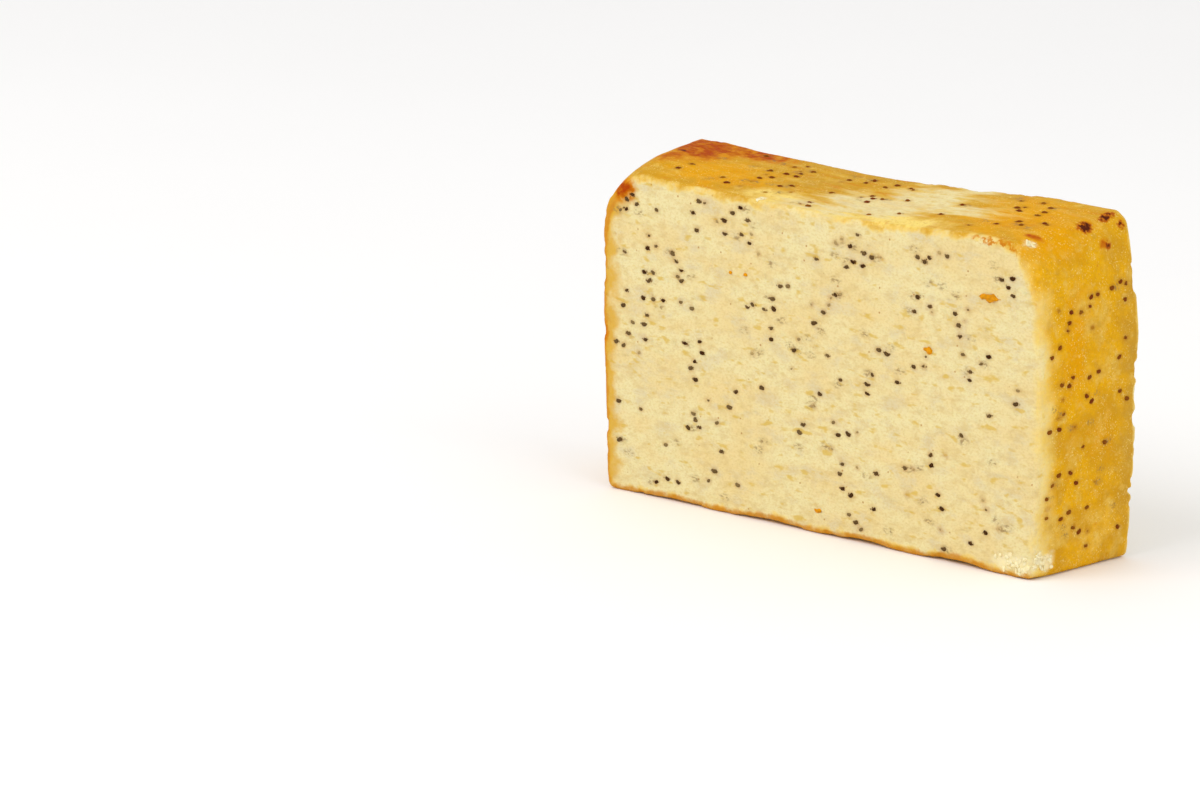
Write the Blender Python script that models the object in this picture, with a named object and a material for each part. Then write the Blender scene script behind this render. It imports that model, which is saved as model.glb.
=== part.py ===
"""Lemon poppy seed loaf: a thick upright piece from the middle of a loaf cake.

Both broad faces are knife cuts, and the sides, top and base are crust. The piece stands on its flat
base. X runs along its width, Y from the shown cut face to the hidden one, and Z up. The origin is at
the middle of the base. Sizes below are in millimetres, and the finished mesh is in metres.
"""

import math
import random

import bmesh
import bpy
from mathutils import Euler, Matrix, Vector, noise
from mathutils.bvhtree import BVHTree

MM = 0.001

# The block. The front is the shown cut face, and the back is the hidden one.
THICKNESS = 26.0
FRONT_LEFT, FRONT_RIGHT = -55.9, 51.5
BACK_LEFT, BACK_RIGHT = -55.2, 55.8
FRONT_HEIGHT, BACK_HEIGHT = 64.6, 67.4

# The sides reach out most at this share of the height, tuck in at the foot, and lean in at the back's top.
BULGE_HEIGHT = 0.7
FOOT_TUCK = 1.3
LEAN_START, LEFT_LEAN, RIGHT_LEAN, LEAN_POWER = 0.66, 2.2, 3.6, 1.4

# Waves of the top crust: where across, how wide, how high at the front and how high at the back.
TOP_WAVES = ((4.0, 20.0, -0.9, 0.0), (-3.0, 17.0, 0.0, -1.1), (-48.0, 9.0, 0.3, 0.9), (37.0, 10.0, 0.0, 0.4))
# The top rises from the front in a dome at the left end, and evenly elsewhere.
DOME_CENTRE, DOME_WIDTH, DOME_POWER = -56.0, 20.0, 4.2

# Radii of the corners of a cross-section, at the front and at the back.
TOP_LEFT_RADIUS = (11.0, 2.0)
TOP_RIGHT_RADIUS = (8.5, 2.4)
FOOT_RADIUS = (1.3, 1.6)
CUT_EDGE_RADIUS = 0.8

# The base crust lifts in scallops along both cut edges: where across, how wide and how high. Those of
# the back stand a little further to the left. The base is flat again at the scallops' depth, and the
# higher the power, the less the scallops reach up the cut faces.
SCALLOPS = ((-37.0, 7.0, 0.6), (-13.0, 7.0, 0.8), (10.0, 6.0, 0.9), (33.0, 6.0, 1.0), (50.0, 3.0, 0.3))
SCALLOP_BACK_SHIFT, SCALLOP_DEPTH, SCALLOP_POWER = 9.0, 3.0, 8

# Slow unevenness of the whole surface, with its three directions drawn this far apart in the noise.
ROUGH_HEIGHT, ROUGH_LENGTH, ROUGH_STEP = 0.3, 16.0, 10

# Where the block is cut into cells, as shares of its width, thickness and height: close together at
# the rounded corners, at these turns of the rounded cut edges in degrees, and evenly in between.
CORNER_LOOPS = (0.01, 0.024, 0.045, 0.075, 0.12)
EVEN_CELLS_ACROSS = 14
CUT_EDGE_TURNS = (45, 90)
MIDDLE_LOOPS = (0.36, 0.64)
FOOT_LOOPS = (0.008, 0.02, 0.06)
SHOULDER_LOOPS = (0.8, 0.87, 0.92, 0.955, 0.982)
EVEN_CELLS_UP = 10
# Cuts closer to a corner than this, in shares of the block, go through the corner itself.
CUT_TOLERANCE = 1e-6
SHARE_DIGITS = 5

# Nicks that the knife tore in the edges: centre, and half its length along X, Y and Z.
NICKS = (
    ((18.0, 13.6, 68.0), (4.2, 3.2, 1.7)),
    ((57.0, 13.4, 32.5), (2.2, 2.8, 3.6)),
    ((56.8, 13.6, 13.2), (2.6, 3.4, 1.1)),
    ((-57.0, 13.4, 40.0), (2.2, 2.6, 3.0)),
)
NICK_FINENESS = 2

# Poppy seeds: a seed's length, breadth and depth, how far its middle lies under the surface, the
# least distance between two, and how far they keep from the edges of a surface.
SEED_SIZE = (1.25, 0.95, 0.85)
SEED_SINK = 0.08
SEED_FINENESS = 1
SEED_GAP = 1.75
SEED_MARGIN = 2.4
CORNER_MARGIN = 7.0
# A seed's half size as a share of its whole size, least and most, and how far it tilts, in radians.
SEED_SPREAD = (0.43, 0.55)
SEED_TILT = 0.3
SEED_DRAW = 11
# How many seeds stand out of each surface.
SEED_COUNTS = {"front": 88, "back": 88, "top": 34, "left": 24, "right": 28}
# Shares of the draws that give a row of three and a pair, how far a row bends, in radians, and the
# step from seed to seed in least distances, least and most.
ROW_SHARE, PAIR_SHARE = 0.12, 0.3
ROW_BEND = 0.6
STRIDE = (1.05, 1.5)

CRUMB_COLOUR = (0.83, 0.66, 0.31, 1.0)
CRUMB_ROUGHNESS = 0.6
# Edges that turn by more than this many degrees are shaded sharp.
SHARP_TURN = 35


def clear_scene():
    for obj in list(bpy.data.objects):
        bpy.data.objects.remove(obj, do_unlink=True)


def mix(front, back, through):
    return front + (back - front) * through


def bump(x, centre, width):
    return math.exp(-(((x - centre) / width) ** 2))


def top_height(x, through):
    """Height of the top crust at x, from the front (0) to the back (1)."""
    dome = bump(x, DOME_CENTRE, DOME_WIDTH)
    rise = mix(through, 1 - (1 - through) ** DOME_POWER, dome)
    height = mix(FRONT_HEIGHT, BACK_HEIGHT, rise)
    for centre, width, front, back in TOP_WAVES:
        height += mix(front, back, rise) * bump(x, centre, width)
    return height


def side_tuck(up, through, back_lean):
    """How far a side lies inside its widest reach, at that share of the height."""
    tuck = FOOT_TUCK * ((up - BULGE_HEIGHT) / BULGE_HEIGHT) ** 2
    lean = max(0.0, up - LEAN_START) / (1 - LEAN_START)
    return tuck + back_lean * through * lean**LEAN_POWER


def base_lift(x, through):
    """How far the base lifts beside its two cut edges."""
    depth = min(through, 1 - through) * THICKNESS
    along = x + SCALLOP_BACK_SHIFT * through
    lift = sum(height * bump(along, centre, width) for centre, width, height in SCALLOPS)
    return lift * max(0.0, 1 - depth / SCALLOP_DEPTH)


def round_corner(x, z, corner_x, corner_z, radius, upper):
    """Draws a square corner, and what lies within its radius, in to an arc."""
    out_x = math.copysign(1.0, corner_x)
    out_z = 1.0 if upper else -1.0
    a = (x - corner_x) * out_x + radius
    b = (z - corner_z) * out_z + radius
    if a <= 0 or b <= 0:
        return x, z
    pull = max(a, b) / math.hypot(a, b)
    return corner_x + out_x * (a * pull - radius), corner_z + out_z * (b * pull - radius)


def cut_edge_inset(through):
    """How far the section draws in beside a cut face, to round the edge between cut and crust."""
    depth = min(through, 1 - through) * THICKNESS
    if depth >= CUT_EDGE_RADIUS:
        return 0.0
    return CUT_EDGE_RADIUS - math.sqrt(CUT_EDGE_RADIUS**2 - (CUT_EDGE_RADIUS - depth) ** 2)


def unevenness(point):
    """A slow drift of the surface along each axis."""
    start = point / ROUGH_LENGTH
    steps = [Vector((0, 0, ROUGH_STEP * axis)) for axis in range(3)]
    return Vector([noise.noise(start + step) for step in steps]) * ROUGH_HEIGHT


def loaf_point(across, through, up):
    """The point at these shares of the loaf's width, thickness and height."""
    left = mix(FRONT_LEFT, BACK_LEFT, through) + side_tuck(up, through, LEFT_LEAN)
    right = mix(FRONT_RIGHT, BACK_RIGHT, through) - side_tuck(up, through, RIGHT_LEAN)
    x = mix(left, right, across)
    top = top_height(x, through)
    z = top * up
    foot_radius = mix(*FOOT_RADIUS, through)
    x, z = round_corner(x, z, left, top, mix(*TOP_LEFT_RADIUS, through), True)
    x, z = round_corner(x, z, right, top, mix(*TOP_RIGHT_RADIUS, through), True)
    x, z = round_corner(x, z, left, 0.0, foot_radius, False)
    x, z = round_corner(x, z, right, 0.0, foot_radius, False)
    inset = cut_edge_inset(through)
    middle_x, middle_z = (left + right) / 2, top / 2
    x -= inset * (x - middle_x) / (right - middle_x)
    z -= inset * (z - middle_z) / middle_z
    z += base_lift(x, through) * (1 - up) ** SCALLOP_POWER
    point = Vector((x, (through - 0.5) * THICKNESS, z))
    rough = unevenness(point)
    if up == 0:
        rough.z = 0.0
    return point + rough


def spread(first, last, cells):
    return [first + (last - first) * cell / cells for cell in range(1, cells)]


def loops_across():
    corner = list(CORNER_LOOPS)
    even = spread(corner[-1], 1 - corner[-1], EVEN_CELLS_ACROSS)
    return corner + even + [1 - share for share in corner]


def loops_through():
    edge = [CUT_EDGE_RADIUS * (1 - math.cos(math.radians(turn))) / THICKNESS for turn in CUT_EDGE_TURNS]
    edge.append(SCALLOP_DEPTH / THICKNESS)
    return edge + list(MIDDLE_LOOPS) + [1 - share for share in edge]


def loops_up():
    even = spread(FOOT_LOOPS[-1], SHOULDER_LOOPS[0], EVEN_CELLS_UP)
    return list(FOOT_LOOPS) + even + list(SHOULDER_LOOPS)


def cut_loops(bm, axis, shares):
    """Cuts the block across one axis at each of these shares of its length."""
    normal = Vector((0, 0, 0))
    normal[axis] = 1.0
    for share in shares:
        whole = bm.verts[:] + bm.edges[:] + bm.faces[:]
        bmesh.ops.bisect_plane(bm, geom=whole, dist=CUT_TOLERANCE, plane_co=normal * share, plane_no=normal)


def new_object(name, bm, collection):
    mesh = bpy.data.meshes.new(name)
    bm.to_mesh(mesh)
    bm.free()
    obj = bpy.data.objects.new(name, mesh)
    collection.objects.link(obj)
    return obj


def loaf_body():
    """Crumb and crust: a block cut into cells, whose corners then go to their places."""
    bm = bmesh.new()
    bmesh.ops.create_cube(bm, size=1.0, matrix=Matrix.Translation((0.5, 0.5, 0.5)))
    for axis, shares in enumerate((loops_across(), loops_through(), loops_up())):
        cut_loops(bm, axis, shares)
    for vert in bm.verts:
        across, through, up = (round(share, SHARE_DIGITS) for share in vert.co)
        vert.co = loaf_point(across, through, up) * MM
    return new_object("loaf", bm, bpy.context.scene.collection)


def lump(collection, name, matrix, fineness):
    """A round lump of unit radius, put in place by the matrix."""
    bm = bmesh.new()
    bmesh.ops.create_icosphere(bm, subdivisions=fineness, radius=1.0, matrix=matrix)
    new_object(name, bm, collection)


def helper_collection(name):
    collection = bpy.data.collections.new(name)
    bpy.context.scene.collection.children.link(collection)
    return collection


def join_by_boolean(body, collection, operation):
    """One Boolean with the whole collection, applied. The collection and its objects then go."""
    change = body.modifiers.new(operation.lower(), "BOOLEAN")
    change.operation = operation
    change.operand_type = "COLLECTION"
    change.collection = collection
    change.solver = "EXACT"
    graph = bpy.context.evaluated_depsgraph_get()
    mesh = bpy.data.meshes.new_from_object(body.evaluated_get(graph))
    body.modifiers.clear()
    body.data = mesh
    for obj in list(collection.objects):
        bpy.data.objects.remove(obj, do_unlink=True)
    bpy.data.collections.remove(collection)


def scale_matrix(sizes):
    return Matrix.Diagonal((*(Vector(sizes) * MM), 1.0))


def cut_nicks(body):
    nicks = helper_collection("nicks")
    for number, (centre, reach) in enumerate(NICKS):
        place = Matrix.Translation(Vector(centre) * MM)
        lump(nicks, f"nick_{number}", place @ scale_matrix(reach), NICK_FINENESS)
    join_by_boolean(body, nicks, "DIFFERENCE")


def seed_group(draw, start):
    """The spots of a single seed, a pair or a row of three that starts at this spot."""
    kind = draw.random()
    many = 3 if kind < ROW_SHARE else 2 if kind < ROW_SHARE + PAIR_SHARE else 1
    heading = draw.uniform(0, 2 * math.pi)
    group = []
    for step in range(many):
        bend = heading + draw.uniform(-ROW_BEND, ROW_BEND)
        stride = SEED_GAP * draw.uniform(*STRIDE)
        group.append(start + Vector((math.cos(bend), math.sin(bend))) * step * stride)
    return group


def seed_spots(draw, count, width, height):
    """Spots for seeds on a rectangle about its middle."""
    spots = []
    while len(spots) < count:
        start = Vector((draw.uniform(-0.5, 0.5) * width, draw.uniform(-0.5, 0.5) * height))
        for spot in seed_group(draw, start):
            inside = abs(spot.x) < width / 2 and abs(spot.y) < height / 2
            if inside and all((spot - other).length > SEED_GAP for other in spots):
                spots.append(spot)
    return spots[:count]


def seeded_surfaces():
    """For each surface: a middle outside it, two directions with the size along each, and the way in."""
    wide = FRONT_RIGHT - FRONT_LEFT - 2 * SEED_MARGIN
    deep = THICKNESS - 2 * SEED_MARGIN
    tall = FRONT_HEIGHT - 2 * SEED_MARGIN
    side_tall = tall - CORNER_MARGIN
    side_middle = (FRONT_HEIGHT - CORNER_MARGIN) / 2
    x, y, z = Vector((1, 0, 0)), Vector((0, 1, 0)), Vector((0, 0, 1))
    front = Vector(((FRONT_LEFT + FRONT_RIGHT) / 2, -THICKNESS, FRONT_HEIGHT / 2))
    back = Vector(((BACK_LEFT + BACK_RIGHT) / 2, THICKNESS, FRONT_HEIGHT / 2))
    top = Vector((0, 0, BACK_HEIGHT + THICKNESS))
    left = Vector((BACK_LEFT - THICKNESS, 0, side_middle))
    right = Vector((BACK_RIGHT + THICKNESS, 0, side_middle))
    return {
        "front": (front, x, wide, z, tall, y),
        "back": (back, x, wide, z, tall, -y),
        "top": (top, x, wide - 2 * CORNER_MARGIN, y, deep, -z),
        "left": (left, y, deep, z, side_tall, x),
        "right": (right, y, deep, z, side_tall, -x),
    }


def sow_seeds(body):
    """Fuses the poppy seeds that stand out of the cut faces and the crust."""
    draw = random.Random(SEED_DRAW)
    seeds = helper_collection("seeds")
    skin = BVHTree.FromObject(body, bpy.context.evaluated_depsgraph_get())
    for surface, (middle, right, width, upward, height, inward) in seeded_surfaces().items():
        for number, spot in enumerate(seed_spots(draw, SEED_COUNTS[surface], width, height)):
            start = (middle + right * spot.x + upward * spot.y) * MM
            place, normal, _, _ = skin.ray_cast(start, inward)
            lean = [draw.uniform(-SEED_TILT, SEED_TILT) for _ in range(2)]
            tilt = Euler((*lean, draw.uniform(0, math.pi)))
            half = Vector(SEED_SIZE) * draw.uniform(*SEED_SPREAD)
            facing = normal.to_track_quat("Z", "Y").to_matrix() @ tilt.to_matrix()
            centre = Matrix.Translation(place - normal * SEED_SINK * MM)
            seed = centre @ facing.to_4x4() @ scale_matrix(half)
            lump(seeds, f"seed_{surface}_{number}", seed, SEED_FINENESS)
    join_by_boolean(body, seeds, "UNION")


def stand_on_origin(body):
    """Puts the middle of the base of the loaf's box on the origin."""
    corners = [Vector(corner) for corner in body.bound_box]
    low = Vector([min(corner[axis] for corner in corners) for axis in range(3)])
    high = Vector([max(corner[axis] for corner in corners) for axis in range(3)])
    body.data.transform(Matrix.Translation((-(low.x + high.x) / 2, -(low.y + high.y) / 2, -low.z)))


def baked_crumb():
    """One finish for the solid: pale yellow crumb, matt and moist."""
    material = bpy.data.materials.new("baked_crumb")
    material.use_nodes = True
    shader = material.node_tree.nodes["Principled BSDF"]
    shader.inputs["Base Color"].default_value = CRUMB_COLOUR
    shader.inputs["Roughness"].default_value = CRUMB_ROUGHNESS
    shader.inputs["Metallic"].default_value = 0.0
    return material


def main():
    clear_scene()
    body = loaf_body()
    cut_nicks(body)
    sow_seeds(body)
    stand_on_origin(body)
    body.data.materials.clear()
    body.data.materials.append(baked_crumb())
    body.data.shade_smooth()
    body.data.set_sharp_from_angle(angle=math.radians(SHARP_TURN))


main()
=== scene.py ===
"""Lemon poppy seed loaf: a thick upright slice with two cut faces and crust all round.

The slice is laid out as an add-on, with one operator for each kind of piece. Its form repeats the
named sizes of the solid, in millimetres, and its mesh is in metres, in the frame's own place.
"""

import math
import random
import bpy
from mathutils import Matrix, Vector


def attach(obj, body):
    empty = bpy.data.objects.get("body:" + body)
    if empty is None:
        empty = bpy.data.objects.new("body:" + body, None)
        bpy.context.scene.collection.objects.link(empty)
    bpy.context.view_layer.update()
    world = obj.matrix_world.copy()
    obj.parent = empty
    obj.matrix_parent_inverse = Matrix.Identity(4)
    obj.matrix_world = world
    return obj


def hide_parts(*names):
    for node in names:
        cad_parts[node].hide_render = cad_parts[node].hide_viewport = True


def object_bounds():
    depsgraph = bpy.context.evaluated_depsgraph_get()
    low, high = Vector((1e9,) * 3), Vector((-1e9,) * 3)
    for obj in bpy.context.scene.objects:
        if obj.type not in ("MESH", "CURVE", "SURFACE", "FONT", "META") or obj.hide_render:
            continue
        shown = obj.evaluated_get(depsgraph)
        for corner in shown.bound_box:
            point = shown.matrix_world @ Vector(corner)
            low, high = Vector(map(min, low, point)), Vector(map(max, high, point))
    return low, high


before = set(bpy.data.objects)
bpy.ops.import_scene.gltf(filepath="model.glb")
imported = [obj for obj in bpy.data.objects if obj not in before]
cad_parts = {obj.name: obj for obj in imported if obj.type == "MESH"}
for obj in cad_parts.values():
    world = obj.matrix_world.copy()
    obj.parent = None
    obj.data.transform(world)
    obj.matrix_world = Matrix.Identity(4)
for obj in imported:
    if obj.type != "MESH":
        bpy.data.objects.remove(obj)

from types import SimpleNamespace

import bpy
import numpy as np
from bpy.props import FloatProperty, FloatVectorProperty, IntProperty, PointerProperty
from mathutils import Euler, Matrix, Vector, noise
from mathutils.bvhtree import BVHTree
from mathutils.kdtree import KDTree

CAD_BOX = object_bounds()

bl_info = {
    "name": "Lemon Poppy Seed Loaf",
    "version": (1, 0, 0),
    "blender": (4, 5, 0),
    "location": "View3D > Sidebar > Loaf",
    "description": "Bakes a thick upright slice of poppy seed loaf, piece by piece",
    "category": "Add Mesh",
}

MM = 0.001

# The block. The front is the shown cut face, and the back is the hidden one.
THICKNESS = 26.0
FRONT_LEFT, FRONT_RIGHT = -55.9, 51.5
BACK_LEFT, BACK_RIGHT = -55.2, 55.8
FRONT_HEIGHT, BACK_HEIGHT = 64.6, 67.4

# The sides reach out most at this share of the height, tuck in at the foot, and lean in at the back's top.
BULGE_HEIGHT = 0.7
FOOT_TUCK = 1.3
LEAN_START, LEFT_LEAN, RIGHT_LEAN, LEAN_POWER = 0.66, 2.2, 3.6, 1.4

# Waves of the top crust: where across, how wide, how high at the front and how high at the back.
TOP_WAVES = ((4, 20, -0.9, 0), (-3, 17, 0, -1.1), (-48, 9, 0.3, 0.9), (37, 10, 0, 0.4))
DOME_CENTRE, DOME_WIDTH, DOME_POWER = -56, 20, 4.2

# Radii of the corners of a cross-section, at the front and at the back.
TOP_LEFT_RADIUS = (11, 2)
TOP_RIGHT_RADIUS = (8.5, 2.4)
FOOT_RADIUS = (1.3, 1.6)
CUT_EDGE_RADIUS = 0.8

# The base crust lifts in scallops along both cut edges: where across, how wide and how high.
SCALLOPS = ((-37, 7, 0.6), (-13, 7, 0.8), (10, 6, 0.9), (33, 6, 1), (50, 3, 0.3))
SCALLOP_BACK_SHIFT, SCALLOP_DEPTH, SCALLOP_POWER = 9, 3, 8
ROUGH_HEIGHT, ROUGH_LENGTH, ROUGH_STEP = 0.3, 16, 10

# Nicks that the knife tore in the edges: centre, and half its length along X, Y and Z.
NICKS = (
    ((18, 13.6, 68), (4.2, 3.2, 1.7)),
    ((57, 13.4, 32.5), (2.2, 2.8, 3.6)),
    ((56.8, 13.6, 13.2), (2.6, 3.4, 1.1)),
    ((-57, 13.4, 40), (2.2, 2.6, 3)),
)

# The step from the block's own place to the frame's, whose origin is the middle of the solid's base.
STEP_TO_FRAME = (0.2837, 0.0048, 0)

# The mesh: cells across, through and up, narrower beside the cut faces, and the cuts in each cell.
CELLS_ACROSS, CELLS_UP = 27, 16
LOOPS_THROUGH = (0.09, 0.254, 0.418, 0.582, 0.746, 0.91)
CUTS_IN_A_CELL = 7
SHARE_DIGITS = 5

# Noise of the relief: the size of its bumps in millimetres and where in the noise it starts. Where there
# are two, the second is finer, and its share follows.
LUMPS = ((2.6, 0), (1.2, 40), 0.5)
DIMPLES = ((4.2, 160), (1.1, 200), 0.45)
CHUNKS = ((1.5, 280), (0.8, 320), 0.6)
BITES = (((5, 3, 5), 360), (1.5, 380), 0.55)
DRAGS, FIBRES, PORES = ((6.5, 2, 0.8), 80), ((7, 0.9, 1.4), 240), ((1.9, 1.2, 1.3), 120)
DRAG_SHARE, PORE_STARTS, BITE_STARTS, CRUST_STARTS = 0.6, (0.42, 0.62), (0, 0.6), (-0.6, 0.8)
# How deep the shown and the hidden cut edges are worn, how far in, and how far the top is spared.
EDGE_WEAR, BACK_EDGE_WEAR, WEAR_REACH, TOP_SPARED = 0.35, 0.8, 1.1, 0.5
# The height of torn fibres and crumbly chunks, and how far each lies below the smooth loaf.
FIBRE_HEIGHT, TORN_SINK, CHUNK_HEIGHT, CRUMBLY_SINK = 0.14, 0.1, 0.55, 0.3
# The noise that breaks the edge of crumbly places, each with its amount, and where they start.
CRUMBLY_EDGE, CRUMBLY_STARTS = (((2.4, 400), 0.35), ((0.9, 440), 0.2)), (0.42, 0.75)
# How wide the borders are between the top, the base and the sides.
TOP_BORDER, BASE_BORDER, MIDDLE_BORDER = 5, 5 / 3, 0.01

# Poppy seeds that the solid has too.
SEED_GAP = 1.75
SEED_MARGIN = 2.4
CORNER_MARGIN = 7.0
SEED_DRAW = 11
SEED_COUNTS = {"front": 88, "back": 88, "top": 34, "left": 24, "right": 28}
ROW_SHARE, PAIR_SHARE = 0.12, 0.3
ROW_BEND = 0.6
STRIDE = (1.05, 1.5)
SEED_TILT, SEED_SWING = 0.3, 0.7
SEED_SPREAD = (0.43, 0.55)
# Finer seeds, nearly level with the surface, and seeds that only shimmer through from below.
FINE_SEED_DRAW = 29
FINE_SEED_COUNTS = {"front": 60, "back": 60, "top": 16, "left": 14, "right": 14}
DEEP_SEED_COUNTS = {"front": 28, "back": 28, "top": 8, "left": 8, "right": 8}
SMUDGE_COUNTS = {"front": 46, "back": 46, "top": 14, "left": 8, "right": 8}
# The least distance between fine seeds, and the share of them that gather near others and how near.
FINE_SEED_GAP, GATHERED_SHARE, GATHERED_REACH = 1.05, 0.6, 2.4
# How far a seed's middle lies under the surface, and how much the crumb veils it, least and most.
SHOWN_SINK, SHOWN_VEIL = (0.1, 0.2), (0, 0.18)
FINE_SINK, FINE_VEIL = (0.16, 0.32), (0, 0.3)
DEEP_SINK, DEEP_VEIL = (0.3, 0.38), (0.4, 0.7)

# The share of seeds that the knife smeared, and how far aside the smear lies.
SMEARED_SHARE, SMEAR_SHIFT = 0.16, 0.9
# Half the size of a smear or smudge, and of the stain round a seed.
SMEAR_HALF, STAIN_HALF = (1.3, 1, 0.8), (0.95, 0.9, 0.8)
# Round seeds that are veiled less than this, dark crumb cakes on, this far at half its strength.
CAKED_VEIL, CAKED_HALF = 0.2, (1.25, 0.8, 0.62)

# The crust starts this many times as suddenly at the hidden cut edge as at the shown one.
BACK_EDGE_STEEPNESS = 4

# Patches of colour and texture: centre, half its length along X, Y and Z, and strength.
SCORCHED = (
    ((-45, 7, 68), (6.5, 7, 3), 1.3),
    ((-47, -2, 67), (2.6, 3.6, 2), 0.8),
    ((-34.5, 10.5, 67.5), (8, 3.6, 2.5), 1),
    ((-50.2, -12.9, 61.8), (2.4, 2, 2.1), 1.2),
    ((46.2, -8.1, 64.8), (1.9, 0.8, 1), 1.4),
    ((40, -3, 66), (8, 5, 3), 0.2),
    ((52.9, 4.8, 62.6), (0.8, 1.2, 1.2), 0.7),
    ((-55.6, -12.8, 33), (1.5, 1.6, 4), 0.55),
)
BURNT = (
    ((49.7, 2.8, 65.6), (1.25, 1.5, 1.4), 1.25),
    ((50.4, 9, 66.7), (0.9, 2, 1.1), 1.05),
    ((52.3, 10.9, 65.1), (0.8, 0.9, 0.9), 0.95),
    ((-47.5, 1.8, 67.7), (1.3, 0.7, 0.8), 1.05),
    ((52.8, 6.3, 62), (0.5, 0.9, 1.2), 0.6),
)
AMBER = (
    ((-33, -4, 66), (13, 7, 4), 1),
    ((-42, 3, 67), (8, 7, 3), 0.8),
    ((-49.8, -12.9, 62), (2.6, 1.6, 2.6), 1.1),
    ((38, 1, 66), (11, 12, 4), 1),
    ((47, -4, 64), (6, 9, 5), 1),
    ((54, -4, 44), (3, 4, 17), 0.7),
    ((54, 3, 24), (3, 5, 8), 0.4),
    ((-54, 4, 40), (3, 6, 20), 0.6),
)
BRIM = (
    ((40.5, -12.8, 63.5), (6.5, 3, 3), 1.05),
    ((50, -12.8, 57), (3.5, 3.5, 5.5), 0.5),
    ((-46, -12.8, 63), (6, 3, 3), 0.35),
)
TORN = (
    ((-3, -10, 63.5), (11, 4.5, 2.5), 1),
    ((5, -4, 64.8), (12, 7.5, 2.5), 1.25),
    ((13, 3, 65.5), (11, 8.5, 2.5), 1.15),
    ((24, -1, 65.9), (8.5, 3.8, 2), 0.85),
    ((19, 12, 67), (6, 3, 3), 1),
)
LEMON = (
    ((17, -10, 64.2), (11, 3.4, 1.8), 1.1),
    ((-15, -9, 64.6), (7, 4, 1.8), 1),
    ((0, -11.5, 63.6), (12, 2.5, 1.5), 0.8),
    ((54.5, 1, 7), (4, 9, 6), 0.4),
)
CRUMBLY = (
    ((46.3, -10.6, 63.7), (2.6, 2, 1.3), 0.85),
    ((46.5, -12.5, 2.6), (5.6, 4, 2.3), 1.1),
    ((50.5, -9.5, 3.6), (2.5, 3.4, 2.6), 1.1),
    ((-16.5, -11.2, 64.4), (1, 1.1, 0.9), 1.15),
)
DULL = (
    ((0, 13.5, 67), (60, 4.5, 5), 0.9),
    ((-12, 2, 66), (9, 7, 3), 0.7),
    ((56, 12, 30), (4, 5, 40), 0.9),
    ((-56, 12, 30), (4, 5, 40), 0.9),
    ((-55, -8, 66), (7, 8, 7), 0.6),
    ((55, 6, 18), (4, 6, 6), 0.45),
)
# How far inside the hidden cut face the patches of the crust end and start to fade.
PATCH_END = (-1.8, -0.2)

# Where the crust reaches over the edge onto the cut face, and by how many millimetres.
WRAPPED = (
    ((51, -13, 60.5), (4.5, 3, 5.5), 4.5),
    ((51.5, -13, 50), (2.5, 3, 9), 1.4),
    ((51.5, -13, 24), (2.5, 3, 12), 0.9),
    ((-54.5, -13, 61), (3, 3, 6), 1.5),
)

PATCHES = {
    "scorched": SCORCHED, "burnt": BURNT, "amber": AMBER, "lemon": LEMON, "dull": DULL, "brim": BRIM
}

ZEST = (
    ((39.8, -13.1, 53.2), (2.7, 0.35, 0.85)),
    ((25.5, -13, 41), (1.1, 0.3, 0.8)),
    ((-0.4, -13.1, 4.9), (0.8, 0.25, 0.5)),
    ((-19.2, -12.95, 49), (0.32, 0.2, 0.2)),
    ((-22.7, -12.95, 48.9), (0.26, 0.2, 0.22)),
)

# How a shred of peel tapers, and the noise of its edge, with its amount and its share along each axis.
PEEL_TAPER, PEEL_NOISE, PEEL_EDGE, PEEL_SPREAD = 0.7, (0.9, 500), 0.7, (1, 0.3, 1)

# Crumbs at the broken corners: half their length, breadth and depth, least and most, their tilt, the noise
# of their surface and its amount, and how crumbly a place has to be.
CRUMB_HALF = ((0.35, 0.9), (0.25, 0.6), (0.12, 0.3))
CRUMB_TILT, CRUMB_NOISE, CRUMB_LUMPS, CRUMBLY_ENOUGH = 0.5, (0.6, 540), 0.22, 0.6
CRUMB_DRAW = 5

# A poppy seed's facets round and up, its hollow's width and depth, and how far its ends thin out.
SEED_FACETS, HOLLOW_WIDTH, HOLLOW_DEPTH, SEED_THINNING = (8, 6), 0.45, 0.3, 0.12

# Clouds: their size in millimetres, detail and stretch, the noise at which they start and are full, and the
# least and most that they show. First those of a colour, from the lowest.
EVEN = (1, 1, 1)
CRUMB_CLOUDS = (
    ("crumb_warm", 7, 4, (2, 1, 1), 0.38, 0.64),
    ("crumb_cool", 3.4, 4, (1.8, 1, 1), 0.5, 0.7, 0, 0.75),
    ("crumb_shade", 1.5, 4, (1.7, 1, 1), 0.46, 0.72, 0, 0.5),
    ("crumb_shade", 0.42, 2, (1.4, 1, 1), 0.42, 0.72, 0, 0.42),
    ("fleck", 1.6, 2, (2.2, 1, 1), 0.585, 0.72, 0, 0.72),
)
SIDE_CLOUDS = (
    ("crust_ochre", 8, 4, EVEN, 0.42, 0.64, 0, 0.85),
    ("crust_faded", 5.5, 4, (1, 1, 1.6), 0.5, 0.68, 0, 0.75),
)
TOP_CLOUDS = (("crust_ochre", 1.5, 3, (7, 1.3, 1), 0.34, 0.66),)
MOTTLES = (("crust_ochre", 1.3, 4, EVEN, 0.4, 0.68, 0, 0.42),)
PALE_CLOUDS = (("crust_lemon", 2.6, 4, EVEN, 0.56, 0.74, 0, 0.35),)
GRAIN = (
    ("crust_toasted", 1.9, 3, EVEN, 0.64, 0.78, 0, 0.6),
    ("crust_ochre", 0.55, 2, EVEN, 0.5, 0.72, 0, 0.45),
)
TOASTED_STREAKS = (1.1, 3, (6, 1.2, 1), 0.5, 0.72, 0, 0.6)
TORN_STREAKS = (1.6, 3, (5, 1.2, 1), 0.3, 0.7, -0.3, 0.3)
# Painted highlights: fine clouds of pale specks that stand in for the crust's glints, and broader clouds
# that gather them.
PAINTED_GLINTS, PAINTED_GLINT_AREAS = (0.36, 3, EVEN, 0.56, 0.69), (3.5, 2, EVEN, 0.35, 0.6, 0.05, 0.55)
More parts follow.
